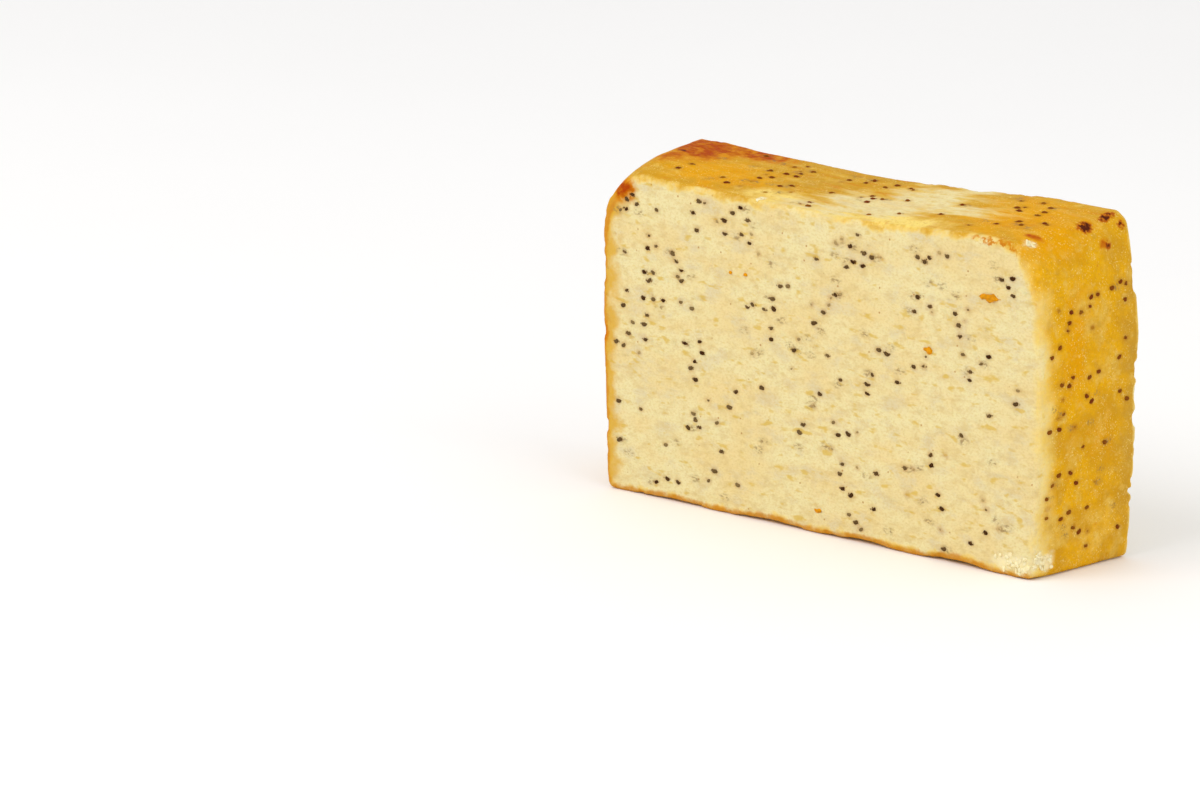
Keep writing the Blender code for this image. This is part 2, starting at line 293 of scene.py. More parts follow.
THIN_SKIN = (0.9, 4, EVEN, 0.34, 0.6, 0.55, 1)
SCORCH_MOTTLE = (1.1, 4, (2, 1, 1), 0.36, 0.58, 0.55, 1)
SMEAR_BREAKS = (0.5, 2, (1.8, 1, 1), 0.46, 0.62, 0.1, 0.75)
GLOSS = (1.3, 3, EVEN, 0.3, 0.7, -0.06, 0.06)
# Paler patches on a seed's coat: partly its real bloom, partly painted highlight.
SEED_BLOOM_AND_HIGHLIGHT = (0.45, 2, EVEN, 0.5, 0.8, 0, 0.5)
PEEL_SHADE = (0.7, 3, EVEN, 0.35, 0.7)
CRUMB_TINT = (1.6, 3, EVEN, 0.42, 0.68, 0, 0.7)
# Dots: the size of the cells in millimetres, the dots' radius, the share of cells with one, and its cover.
CRUMB_DOTS, DULL_DOTS = (2.6, 0.11, 0.5, 0.7), (3, 0.3, 0.4, 0.4)

# How what the mesh keeps shows: the noise that breaks its edge, by size and amount, and the values between
# which it shows, with the least and most. Those from slow_skin on are read off the crust's depth.
LOOKS = {
    "amber": ((4, 0.22), (0.1, 0.95)),
    "dull": ((3, 0.25), (0.1, 1.1, 0, 0.8)),
    "lemon": ((3.5, 0.4), (0.1, 0.9)),
    "toasted": ((2.2, 0.55), (0.05, 0.5)),
    "scorched": ((2.2, 0.55), (0.2, 1)),
    "singed": ((0.9, 0.6), (0.12, 0.5, 0, 0.8)),
    "burnt": ((0.9, 0.6), (0.4, 0.9)),
    "stain": ((0.9, 0.3), (0, 1.1)),
    "caked": ((0.55, 0.45), (0.6, 0.85, 0, 0.9)),
    "slow_skin": ((9, 1.5), (-1, 3)),
    "fast_skin": ((3.4, 0.8), (-1.1, 0.5)),
    "slow_crust": ((9, 1.5), (0.2, 5.2)),
    "fast_crust": ((3.4, 0.8), (-0.7, 1.2)),
    "glow": ((5, 1.6), (-4, -0.6, 0, 0.9)),
    # The rim is partly a line of crust and partly painted shade along the left edge, where the cut face
    # turns away.
    "rim": ((1.8, 0.3), (-0.7, 0.25, 0, 0.85)),
    "line_start": ((1.5, 0.7), (-0.55, 0)),
    "line_end": ((1.5, 0.7), (0.8, 0.1)),
}
LINE_EDGE, LINE_TOASTED, LINE_SCORCHED = (1.6, 0.5), (0.2, 0.9, 0, 0.85), (0.7, 1.5, 0, 0.3)
OUTER_END, TORN_SHOWN, SMEAR_SHOWN = (2.6, 0.6), (0.1, 0.95, 0, 0.95), (0.05, 0.9)
AMBER_AGAIN, CRUMBLY_COVER, SEED_REDDENED, PEEL_DARKENED, FLOOR_DARKENED = 0.5, 0.85, 0.32, 0.72, 0.97
# On the crumb and on the crust: how strong a seed's stain is, and the roughness.
STAIN_STRENGTH, ROUGHNESS = (0.45, 0.75), (0.75, 0.5)
# The size of the net on a seed's coat, in millimetres.
SEED_NET = 0.16

# The inner glow of each finish: its weight, its reach in red, green and blue, and its scale in metres.
CRUMB_GLOW = (0.15, (1.0, 0.7, 0.3), 1.2 * MM)
PEEL_GLOW = (0.1, (1.0, 0.6, 0.2), 0.5 * MM)
LOOSE_GLOW = (0.2, (1.0, 0.8, 0.5), 0.6 * MM)
# The shader's sockets for the roughness, the gloss and the inner glow.
FINISH_SOCKETS = (
    "Roughness", "Specular IOR Level", "Subsurface Weight", "Subsurface Radius", "Subsurface Scale"
)
# How rough the noise of the clouds is, where the noise that breaks edges starts and is full, its detail,
# and the share of a dot's radius within which it is full.
CLOUD_ROUGHNESS, EDGE_STARTS, EDGE_DETAIL, DOT_CORE = 0.55, (0.3, 0.7), 3, 0.4

# The floor: its sides, the share of it that is inset, and the sweep of its rim in metres, in steps, beyond
# this share of its radius.
FLOOR_SIDES, FLOOR_INSET, RIM_SWEEP, RIM_STEPS, RIM_START = 96, 0.5, 0.5, 8, 0.99
# The lights and the camera, in metres: where they stand, what they aim at, and how large they are. The
# sensor's width is in millimetres.
LIGHT_AIM = (0, 0, 0.03)
KEY_SPOT, KEY_SIZE = (-0.35, -0.9, 1.1), 0.9
FILL_SPOT, FILL_SIZE = (1.0, -0.15, 0.6), 0.8
SENSOR_WIDTH, FAR_END = 36.0, 20.0
CAMERA_SPOT = (0.57768, -0.75325, 0.26228)
CAMERA_AIM = (-0.09997, 0.03794, 0.001)


def screen_colour(red, green, blue):
    """A colour as a screen shows it, from 0 to 255, as the linear values that a shader takes."""
    shares = [value / 255 for value in (red, green, blue)]
    return tuple(s / 12.92 if s <= 0.04045 else ((s + 0.055) / 1.055) ** 2.4 for s in shares)


def colour_property(name, description, red, green, blue):
    return FloatVectorProperty(
        name=name,
        description=description,
        default=screen_colour(red, green, blue),
        subtype="COLOR",
        size=3,
        min=0.0,
        max=1.0,
    )


def length_property(name, description, millimetres):
    return FloatProperty(name=name, description=description, default=millimetres * MM, unit="LENGTH")


class LoafSizes(bpy.types.PropertyGroup):
    thickness: length_property("Thickness", "From cut face to cut face", THICKNESS)
    front_height: length_property("Front height", "Height at the shown cut face", FRONT_HEIGHT)
    back_height: length_property("Back height", "Height at the hidden cut face", BACK_HEIGHT)
    crumb_relief: length_property("Crumb relief", "Height of the crumb's lumps", 0.12)
    crust_relief: length_property("Crust relief", "Height of the crust's dimples", 0.09)
    pore_depth: length_property("Pore depth", "Depth of the small holes in the crumb", 0.28)
    seed_length: length_property("Seed length", "Length of a poppy seed", 1.38)
    seed_breadth: length_property("Seed breadth", "Breadth of a poppy seed", 1.0)
    seed_depth: length_property("Seed depth", "Depth of a poppy seed", 0.85)
    loose_crumbs: IntProperty(
        name="Loose crumbs", description="How many crumbs cling to the broken corners", default=56, min=1
    )


class LoafColours(bpy.types.PropertyGroup):
    crumb_pale: colour_property("Pale crumb", "Most of the cut face", 231, 217, 164)
    crumb_warm: colour_property("Warm crumb", "Broad warmer areas of the cut face", 230, 208, 149)
    crumb_shade: colour_property("Shaded crumb", "Fine mottling of the cut face", 210, 182, 120)
    crumb_cool: colour_property("Cool crumb", "Faint greyish areas of the cut face", 216, 201, 162)
    fleck: colour_property("Fleck", "Small moist flecks in the crumb", 212, 176, 72)
    crust_yellow: colour_property("Yellow crust", "Sides", 226, 168, 14)
    crust_ochre: colour_property("Ochre crust", "Darker areas of the sides and the top", 200, 146, 28)
    crust_faded: colour_property("Faded crust", "Paler blotches of the sides", 218, 180, 82)
    crust_tan: colour_property("Tan crust", "Streaks of the top", 214, 166, 56)
    crust_dull: colour_property("Dull crust", "Duller areas towards the hidden cut face", 190, 146, 54)
    # Partly a thin line of crust, partly painted shade along the left edge of the cut face.
    crust_rim_and_edge_shade: colour_property("Crust rim", "Thin line of crust round the cut face", 204, 134, 38)
    crust_amber: colour_property("Amber crust", "Deep golden areas", 224, 157, 0)
    crust_lemon: colour_property("Lemon crust", "Thin bright skin beside the cut edges", 242, 213, 116)
    # Painted highlight: the pale colour of the crust's glints.
    crust_painted_glint: colour_property("Crust glint", "Tiny glistening specks of the crust", 246, 224, 140)
    crust_scorched: colour_property("Scorched crust", "Red-brown areas", 170, 66, 8)
    crust_toasted: colour_property("Toasted crust", "Orange-brown areas and specks", 206, 128, 18)
    crust_burnt: colour_property("Burnt spots", "Small dark spots", 84, 34, 16)
    seed_dark: colour_property("Dark seed", "Most of a seed's coat", 56, 26, 2)
    # Partly the real bloom of a seed's coat, partly painted highlight.
    seed_bloom_and_highlight: colour_property("Grey seed", "Paler bloom on a seed's coat", 112, 78, 36)
    seed_stain: colour_property("Seed stain", "Crumb tinted round a seed", 170, 108, 32)
    seed_caked: colour_property("Caked crumb", "Dark crumb that clings to a seed", 84, 50, 18)
    seed_smear: colour_property("Seed smear", "Crumb smudged by crushed seeds", 144, 114, 72)
    zest: colour_property("Zest", "Shreds of peel", 226, 149, 0)
    loose_crumb: colour_property("Loose crumb", "Crumbs at the broken corners", 246, 232, 184)


class LoafStage(bpy.types.PropertyGroup):
    floor_radius: length_property("Floor radius", "Reach of the flat floor", 2400.0)
    floor: colour_property("Floor", "Pale floor", 253, 252, 251)
    sky_strength: FloatProperty(name="Sky", description="Strength of the soft light all round", default=0.8)
    key_power: FloatProperty(
        name="Key light", description="Power of the main soft light", default=7.3, unit="POWER"
    )
    fill_power: FloatProperty(
        name="Fill light", description="Power of the side light", default=2.2, unit="POWER"
    )
    lens: FloatProperty(name="Lens", description="Focal length in millimetres", default=150.0)


def mix(front, back, through):
    return front + (back - front) * through


def bump(x, centre, width):
    return math.exp(-(((x - centre) / width) ** 2))


def smooth(values, low, high):
    """0 below low, 1 above high, and an even curve between them."""
    share = np.clip((values - low) / (high - low), 0.0, 1.0)
    return share * share * (3 - 2 * share)


def loaf_form(sizes):
    """The sizes of the loaf's block that a user may change, in millimetres."""
    return SimpleNamespace(
        thickness=sizes.thickness / MM,
        front_height=sizes.front_height / MM,
        back_height=sizes.back_height / MM,
    )


def top_height(form, x, through):
    """Height of the top crust at x, from the front (0) to the back (1)."""
    dome = bump(x, DOME_CENTRE, DOME_WIDTH)
    rise = mix(through, 1 - (1 - through) ** DOME_POWER, dome)
    height = mix(form.front_height, form.back_height, rise)
    for centre, width, front, back in TOP_WAVES:
        height += mix(front, back, rise) * bump(x, centre, width)
    return height


def side_tuck(up, through, back_lean):
    """How far a side lies inside its widest reach, at that share of the height."""
    tuck = FOOT_TUCK * ((up - BULGE_HEIGHT) / BULGE_HEIGHT) ** 2
    lean = max(0.0, up - LEAN_START) / (1 - LEAN_START)
    return tuck + back_lean * through * lean**LEAN_POWER


def base_lift(form, x, through):
    """How far the base lifts beside its two cut edges."""
    depth = min(through, 1 - through) * form.thickness
    along = x + SCALLOP_BACK_SHIFT * through
    lift = sum(height * bump(along, centre, width) for centre, width, height in SCALLOPS)
    return lift * max(0.0, 1 - depth / SCALLOP_DEPTH)


def round_corner(x, z, corner_x, corner_z, radius, upper):
    """Draws a square corner, and what lies within its radius, in to an arc."""
    out_x = math.copysign(1.0, corner_x)
    out_z = 1.0 if upper else -1.0
    a = (x - corner_x) * out_x + radius
    b = (z - corner_z) * out_z + radius
    if a <= 0 or b <= 0:
        return x, z
    pull = max(a, b) / math.hypot(a, b)
    return corner_x + out_x * (a * pull - radius), corner_z + out_z * (b * pull - radius)


def cut_edge_inset(form, through):
    """How far the section draws in beside a cut face, to round the edge between cut and crust."""
    depth = min(through, 1 - through) * form.thickness
    if depth >= CUT_EDGE_RADIUS:
        return 0.0
    return CUT_EDGE_RADIUS - math.sqrt(CUT_EDGE_RADIUS**2 - (CUT_EDGE_RADIUS - depth) ** 2)


def unevenness(point):
    """A slow drift of the surface along each axis."""
    start = point / ROUGH_LENGTH
    steps = [Vector((0, 0, ROUGH_STEP * axis)) for axis in range(3)]
    return Vector([noise.noise(start + step) for step in steps]) * ROUGH_HEIGHT


def loaf_point(form, across, through, up):
    """The point at these shares of the loaf's width, thickness and height."""
    left = mix(FRONT_LEFT, BACK_LEFT, through) + side_tuck(up, through, LEFT_LEAN)
    right = mix(FRONT_RIGHT, BACK_RIGHT, through) - side_tuck(up, through, RIGHT_LEAN)
    x = mix(left, right, across)
    top = top_height(form, x, through)
    z = top * up
    foot_radius = mix(*FOOT_RADIUS, through)
    x, z = round_corner(x, z, left, top, mix(*TOP_LEFT_RADIUS, through), True)
    x, z = round_corner(x, z, right, top, mix(*TOP_RIGHT_RADIUS, through), True)
    x, z = round_corner(x, z, left, 0.0, foot_radius, False)
    x, z = round_corner(x, z, right, 0.0, foot_radius, False)
    inset = cut_edge_inset(form, through)
    middle_x, middle_z = (left + right) / 2, top / 2
    x -= inset * (x - middle_x) / (right - middle_x)
    z -= inset * (z - middle_z) / middle_z
    z += base_lift(form, x, through) * (1 - up) ** SCALLOP_POWER
    point = Vector((x, (through - 0.5) * form.thickness, z))
    rough = unevenness(point)
    if up == 0:
        rough.z = 0.0
    return point + rough


def noise_at(points, size, start=0.0):
    """Even noise, from about -1 to 1, whose bumps are this many millimetres long on each axis."""
    spots = points / np.asarray(size) + start
    return np.array([noise.noise(spot) for spot in spots.tolist()])


def two_noises(points, coarse, fine, share, shape=np.asarray):
    """Coarse noise with a share of fine noise on it, both shaped in the same way."""
    return shape(noise_at(points, *coarse)) + share * shape(noise_at(points, *fine))


def patch_at(points, patches):
    """The strongest of these patches at each point."""
    strength = np.zeros(len(points))
    for centre, half, peak in patches:
        offset = (points - np.array(centre)) / np.array(half)
        strength = np.maximum(strength, peak * np.exp(-(offset**2).sum(1)))
    return strength


def mesh_points(mesh):
    points = np.empty(len(mesh.vertices) * 3, np.float32)
    mesh.vertices.foreach_get("co", points)
    return points.reshape(-1, 3).astype(float)


def move_points(mesh, points):
    mesh.vertices.foreach_set("co", points.astype(np.float32).ravel())
    mesh.update()


def mesh_normals(mesh):
    normals = np.empty(len(mesh.vertices) * 3, np.float32)
    mesh.vertex_normals.foreach_get("vector", normals)
    return normals.reshape(-1, 3).astype(float)


def store(mesh, name, values):
    """Keeps one value for each vertex, which the material reads by name."""
    attribute = mesh.attributes.get(name) or mesh.attributes.new(name, "FLOAT", "POINT")
    attribute.data.foreach_set("value", np.asarray(values, np.float32))


def within_box(points):
    """The same points in millimetres, none of them outside the solid's box."""
    low, high = (np.array(corner) / MM for corner in CAD_BOX)
    return np.clip(points, low, high)


def deselect_all():
    if bpy.context.object and bpy.context.object.mode != "OBJECT":
        bpy.ops.object.mode_set(mode="OBJECT")
    bpy.ops.object.select_all(action="DESELECT")


def name_piece(piece, name):
    piece.name = name
    piece.data.name = name
    return piece


def cell_block():
    """A unit block, cut into cells and each cell into a fine grid."""
    deselect_all()
    bpy.ops.mesh.primitive_cube_add(size=1.0, location=(0.5, 0.5, 0.5))
    bpy.ops.object.transform_apply(location=True, rotation=False, scale=False)
    block = bpy.context.object
    across = [step / CELLS_ACROSS for step in range(1, CELLS_ACROSS)]
    up = [step / CELLS_UP for step in range(1, CELLS_UP)]
    bpy.ops.object.mode_set(mode="EDIT")
    for axis, shares in enumerate((across, LOOPS_THROUGH, up)):
        normal = [float(axis == other) for other in range(3)]
        for share in shares:
            bpy.ops.mesh.select_all(action="SELECT")
            bpy.ops.mesh.bisect(plane_co=[share * part for part in normal], plane_no=normal)
    bpy.ops.mesh.select_all(action="SELECT")
    bpy.ops.mesh.subdivide(number_cuts=CUTS_IN_A_CELL)
    bpy.ops.object.mode_set(mode="OBJECT")
    return block


def push_out_of_nicks(points):
    for centre, half in NICKS:
        offset = (points - np.array(centre)) / np.array(half)
        reach = np.linalg.norm(offset, axis=1)
        inside = reach < 1
        points[inside] = np.array(centre) + offset[inside] / reach[inside, None] * np.array(half)
    return points


def crust_depth(form, shares, back_steepness=1):
    """How far past the nearest cut edge a point is on the crust; below zero, how far inside a cut face."""
    across, through, up = shares.T
    width, height = FRONT_RIGHT - FRONT_LEFT, form.front_height
    depth = np.minimum(through, back_steepness * (1 - through)) * form.thickness
    inside = np.minimum(np.minimum(across, 1 - across) * width, np.minimum(up, 1 - up) * height)
    on_cut = (through == 0) | (through == 1)
    return np.where(on_cut, -inside, depth)


def nearness(form, shares):
    """How much a point belongs to the top, to the base and to the left side: 1 on it and 0 away from it."""
    across, through, up = shares.T
    width, height = FRONT_RIGHT - FRONT_LEFT, form.front_height
    from_side = np.minimum(across, 1 - across) * width
    from_top, from_base = (1 - up) * height, up * height
    top = smooth(from_side - from_top, -TOP_BORDER, TOP_BORDER)
    base = smooth(from_side - from_base, -BASE_BORDER, BASE_BORDER)
    left = smooth(0.5 - across, -MIDDLE_BORDER, MIDDLE_BORDER) * (1 - top) * (1 - base)
    return {"top": top, "base": base, "left": left}


def loaf_relief(points, depth, gap, back, top, crumbly, torn, sizes):
    """How far the fine relief lifts each point off the smooth loaf.

    The gap is the distance from the nearest cut edge, and back says how near the hidden face is.
    """
    crust = smooth(depth, *CRUST_STARTS)
    lumps = two_noises(points, *LUMPS) + DRAG_SHARE * noise_at(points, *DRAGS)
    pores = smooth(noise_at(points, *PORES), *PORE_STARTS)
    bites = smooth(two_noises(points, *BITES), *BITE_STARTS)
    wear = np.exp(-((gap / WEAR_REACH) ** 2)) * bites * (1 - TOP_SPARED * top)
    crumb_lift = sizes.crumb_relief / MM * lumps - sizes.pore_depth / MM * pores
    crust_lift = sizes.crust_relief / MM * two_noises(points, *DIMPLES)
    lift = crumb_lift * (1 - crust) + crust_lift * crust - mix(EDGE_WEAR, BACK_EDGE_WEAR, back) * wear
    lift += torn * crust * (FIBRE_HEIGHT * noise_at(points, *FIBRES) - TORN_SINK)
    lift += crumbly * (CHUNK_HEIGHT * two_noises(points, *CHUNKS, np.abs) - CRUMBLY_SINK)
    return lift


def bake_loaf(form, sizes):
    """The loaf's body, with what its material needs to know kept on its vertices."""
    loaf = name_piece(cell_block(), "loaf_crumb")
    mesh = loaf.data
    shares = np.round(mesh_points(mesh), SHARE_DIGITS)
    points = np.array([loaf_point(form, *share) for share in shares.tolist()])
    points = push_out_of_nicks(points) + STEP_TO_FRAME
    move_points(mesh, points)
    normals = mesh_normals(mesh)
    gap = crust_depth(form, shares)
    back = shares[:, 1]
    depth = crust_depth(form, shares, BACK_EDGE_STEEPNESS) + patch_at(points, WRAPPED)
    marks = nearness(form, shares)
    broken = sum(amount * noise_at(points, *edge) for edge, amount in CRUMBLY_EDGE)
    crumbly = smooth(patch_at(points, CRUMBLY) + broken, *CRUMBLY_STARTS)
    torn = patch_at(points, TORN)
    lift = loaf_relief(points, depth, gap, back, marks["top"], crumbly, torn, sizes)
    points += normals * lift[:, None]
    points = within_box(points)
    move_points(mesh, points * MM)
    marks.update(crust_depth=depth, crumbly=crumbly, torn=torn)
    beside_crust = np.where(back == 1, smooth(gap, *PATCH_END), 1.0)
    for name, patches in PATCHES.items():
        marks[name] = patch_at(points, patches) * beside_crust
    for name, values in marks.items():
        store(mesh, name, values)
    mesh.shade_smooth()
    return loaf


class Finish:
    """A material in the making: its nodes, the place of each point, and its colour so far."""

    def __init__(self, name, colours, roughness, specular, glow=()):
        """The glow is the subsurface weight, radius and scale."""
        self.material = bpy.data.materials.new(name)
        self.material.use_nodes = True
        self.tree = self.material.node_tree
        self.shader = self.tree.nodes["Principled BSDF"]
        self.colours = colours
        for socket, value in zip(FINISH_SOCKETS, (roughness, specular, *glow)):
            self.shader.inputs[socket].default_value = value
        self.place = self.node("ShaderNodeTexCoord").outputs["Object"]

    def node(self, kind, inputs=None, **settings):
        """A new node. Its inputs are given by name or number, each as a value or as a socket to link."""
        new = self.tree.nodes.new(kind)
        for name, value in settings.items():
            setattr(new, name, value)
        for name, value in (inputs or {}).items():
            if isinstance(value, bpy.types.NodeSocket):
                self.tree.links.new(value, new.inputs[name])
            else:
                new.inputs[name].default_value = value
        return new

    def maths(self, operation, first, second):
        return self.node("ShaderNodeMath", {0: first, 1: second}, operation=operation).outputs[0]

    def times(self, first, second):
        return self.maths("MULTIPLY", first, second)

    def between(self, share, first, second):
        """A value that goes from the first to the second as the share goes from 0 to 1."""
        return self.node("ShaderNodeMix", {0: share, 2: first, 3: second}).outputs[0]

    def band(self, value, low, high, least=0, most=1):
        """A smooth step of a value, from least at low to most at high."""
        inputs = {"Value": value, "From Min": low, "From Max": high, "To Min": least, "To Max": most}
        return self.node("ShaderNodeMapRange", inputs, interpolation_type="SMOOTHSTEP").outputs[0]

    def clouds(self, size, detail, stretch=EVEN):
        """Soft noise from 0 to 1, with clouds of this many millimetres."""
        shrink = [1 / part for part in stretch]
        spot = self.node("ShaderNodeVectorMath", {0: self.place, 1: shrink}, operation="MULTIPLY")
        inputs = {"Vector": spot.outputs[0], "Scale": 1 / (size * MM), "Detail": detail}
        inputs["Roughness"] = CLOUD_ROUGHNESS
        return self.node("ShaderNodeTexNoise", inputs).outputs[0]

    def cloudy(self, size, detail, stretch, *shown):
        """Clouds, and how much they show."""
        return self.band(self.clouds(size, detail, stretch), *shown)

    def dots(self, size, radius, share, cover):
        """Small round dots, one in each of some of the cells."""
        cells = self.node("ShaderNodeTexVoronoi", {"Vector": self.place, "Scale": 1 / (size * MM)})
        dot = self.band(cells.outputs["Distance"], radius, radius * DOT_CORE)
        pick = self.node("ShaderNodeSeparateColor", {0: cells.outputs["Color"]}).outputs[0]
        return self.times(self.times(dot, self.maths("LESS_THAN", pick, share)), cover)

    def kept(self, name):
        """What the mesh keeps under this name."""
        return self.node("ShaderNodeAttribute", attribute_name=name).outputs["Fac"]

    def ragged(self, value, size, amount):
        """A value whose edges are broken up by noise."""
        edge = self.cloudy(size, EDGE_DETAIL, EVEN, *EDGE_STARTS, -amount, amount)
        return self.maths("ADD", value, edge)

    def frayed(self, value, size, amount):
        """A share whose edges are broken up by noise, and which stays 0 where it is 0."""
        edge = self.cloudy(size, EDGE_DETAIL, EVEN, *EDGE_STARTS, 1 - amount, 1 + amount)
        return self.times(value, edge)

    def patch(self, look, name, broken):
        """How much of what the mesh keeps under this name shows."""
        edge, shown = LOOKS[look]
        return self.band(broken(self.kept(name), *edge), *shown)

    def at_depth(self, look):
        """How much shows at each point's depth in the crust."""
        return self.patch(look, "crust_depth", self.ragged)

    def blend(self, share, first, second):
        """Two colours mixed, each a socket, three values or the name of one of the loaf's colours."""
        inputs = {0: share}
        for number, colour in ((6, first), (7, second)):
            if isinstance(colour, str):
                colour = getattr(self.colours, colour)
            inputs[number] = colour if isinstance(colour, bpy.types.NodeSocket) else (*colour, 1.0)
        return self.node("ShaderNodeMix", inputs, data_type="RGBA").outputs[2]

    def clouded(self, colour, layers):
        """A colour under clouds of other colours."""
        for name, *layer in layers:
            colour = self.blend(self.cloudy(*layer), colour, name)
        return colour

    def cover(self, share, colour):
        """Lays a colour over the finish so far."""
        self.colour = self.blend(share, self.colour, colour)

    def cover_patch(self, look, colour, name=None):
        """Lays a colour where a patch shows, which the mesh keeps under the look's name or this one."""
        self.cover(self.patch(look, name or look, self.frayed), colour)

    def done(self, height=None, strength=1, millimetres=1):
        """The material, with its colour and, where a height is given, a fine bump."""
        self.tree.links.new(self.colour, self.shader.inputs["Base Color"])
        if height is not None:
            inputs = {"Height": height, "Strength": strength, "Distance": millimetres * MM}
            bumps = self.node("ShaderNodeBump", inputs)
            self.tree.links.new(bumps.outputs[0], self.shader.inputs["Normal"])
        return self.material


def lay_crumb(finish):
    """Pale crumb with broad warm areas, fine mottling and small moist flecks drawn out sideways."""
    finish.colour = finish.clouded("crumb_pale", CRUMB_CLOUDS)
    finish.cover(finish.dots(*CRUMB_DOTS), "seed_stain")


def lay_crust(finish):
    """Golden crust: yellow sides, a streaked top, amber areas, and pale specks of painted highlight for its
    glints.
    """
    top = finish.kept("top")
    side_colour = finish.clouded("crust_yellow", SIDE_CLOUDS)
    finish.colour = finish.blend(top, side_colour, finish.clouded("crust_tan", TOP_CLOUDS))
    amber = finish.patch("amber", "amber", finish.ragged)
    finish.cover(amber, "crust_amber")
    finish.cover(finish.patch("dull", "dull", finish.ragged), "crust_dull")
    finish.colour = finish.clouded(finish.colour, MOTTLES)
    finish.cover(finish.times(finish.cloudy(*TOASTED_STREAKS), top), "crust_toasted")
    finish.cover(finish.dots(*DULL_DOTS), "crust_dull")
    finish.cover_patch("lemon", "crust_lemon")
    finish.colour = finish.clouded(finish.colour, PALE_CLOUDS)
    finish.cover(finish.times(amber, AMBER_AGAIN), "crust_amber")
    finish.colour = finish.clouded(finish.colour, GRAIN)
    # Painted highlights: pale specks for the crust's glints.
    finish.cover(finish.times(finish.cloudy(*PAINTED_GLINTS), finish.cloudy(*PAINTED_GLINT_AREAS)), "crust_painted_glint")


def crust_shares(finish):
    """How much of each point is thin skin, and how much is full crust. Both are torn away in places."""
    quick = finish.kept("top")
    for name in ("left", "base", "brim"):
        quick = finish.maths("MAXIMUM", quick, finish.kept(name))
    torn = finish.maths("ADD", finish.kept("torn"), finish.cloudy(*TORN_STREAKS))
    whole = finish.maths("SUBTRACT", 1.0, finish.band(torn, *TORN_SHOWN))
    skin = finish.between(quick, finish.at_depth("slow_skin"), finish.at_depth("fast_skin"))
    crust = finish.between(quick, finish.at_depth("slow_crust"), finish.at_depth("fast_crust"))
    return finish.times(finish.times(skin, whole), finish.cloudy(*THIN_SKIN)), finish.times(crust, whole)


def lay_edges(finish):
    """Glow and crust rim by the left and base edges, the left rim partly painted shade; the ragged upper
    right line.
    """
    outer = finish.band(finish.kept("crust_depth"), *OUTER_END)
    left = finish.times(finish.kept("left"), outer)
    edge = finish.maths("MAXIMUM", left, finish.times(finish.kept("base"), outer))
    finish.cover(finish.times(finish.at_depth("glow"), left), "crust_tan")
    # Crust rim along the left and base edges, partly painted shade at the left edge, where it turns away.
    finish.cover(finish.times(finish.at_depth("rim"), edge), "crust_rim_and_edge_shade")
    line = finish.times(finish.at_depth("line_start"), finish.at_depth("line_end"))
    line = finish.times(line, finish.frayed(finish.kept("brim"), *LINE_EDGE))
    finish.cover(finish.band(line, *LINE_TOASTED), "crust_toasted")
    finish.cover(finish.band(line, *LINE_SCORCHED), "crust_scorched")


def lay_scorches(finish):
    """The scorched areas and burnt spots, each dark in the middle and lighter round it."""
    finish.cover_patch("toasted", "crust_toasted", "scorched")
    scorched = finish.patch("scorched", "scorched", finish.frayed)
    finish.cover(finish.times(scorched, finish.cloudy(*SCORCH_MOTTLE)), "crust_scorched")
    finish.cover_patch("singed", "crust_scorched", "burnt")
    finish.cover_patch("burnt", "crust_burnt")


def lay_seed_marks(finish, crust):
    """The stains round the seeds, the dark crumb caked on them and the smears of crushed ones."""
    stain = finish.patch("stain", "stain", finish.frayed)
    finish.cover(finish.times(stain, finish.between(crust, *STAIN_STRENGTH)), "seed_stain")
    finish.cover_patch("caked", "seed_caked")
    smear = finish.band(finish.kept("smear"), *SMEAR_SHOWN)
    finish.cover(finish.times(smear, finish.cloudy(*SMEAR_BREAKS)), "seed_smear")


def crumb_and_crust(colours):
    finish = Finish("crumb_and_crust", colours, roughness=0.6, specular=0.015, glow=CRUMB_GLOW)
    skin, crust = crust_shares(finish)
    lay_crumb(finish)
    finish.cover(skin, "crust_lemon")
    crumb_colour = finish.colour
    lay_crust(finish)
    finish.colour = finish.blend(crust, crumb_colour, finish.colour)
    lay_edges(finish)
    finish.cover(finish.times(finish.kept("crumbly"), CRUMBLY_COVER), "loose_crumb")
    lay_scorches(finish)
    lay_seed_marks(finish, crust)
    roughness = finish.maths("ADD", finish.between(crust, *ROUGHNESS), finish.cloudy(*GLOSS))
    finish.tree.links.new(roughness, finish.shader.inputs["Roughness"])
    grain = finish.maths("ADD", finish.clouds(size=0.5, detail=3), finish.clouds(size=0.22, detail=2))
    return finish.done(grain, strength=0.6, millimetres=0.14)


def seed_coat(colours):
    finish = Finish("seed_coat", colours, roughness=0.55, specular=0.05)
    # Paler patches on the dark coat: partly real bloom, partly painted highlight.
    finish.colour = finish.blend(finish.cloudy(*SEED_BLOOM_AND_HIGHLIGHT), "seed_dark", "seed_bloom_and_highlight")
    in_crust = finish.kept("in_crust")
    finish.cover(finish.times(in_crust, SEED_REDDENED), "crust_scorched")
    finish.cover(finish.kept("veil"), finish.blend(in_crust, "crumb_shade", "crust_ochre"))
    net = finish.node("ShaderNodeTexVoronoi", {"Vector": finish.place, "Scale": 1 / (SEED_NET * MM)})
    return finish.done(net.outputs["Distance"], strength=0.5, millimetres=0.03)


def peel(colours):
    finish = Finish("peel", colours, roughness=0.4, specular=0.1, glow=PEEL_GLOW)
    dark = [part * PEEL_DARKENED for part in colours.zest]
    finish.colour = finish.blend(finish.cloudy(*PEEL_SHADE), "zest", dark)
    return finish.done(finish.clouds(size=0.3, detail=2), strength=0.6, millimetres=0.08)


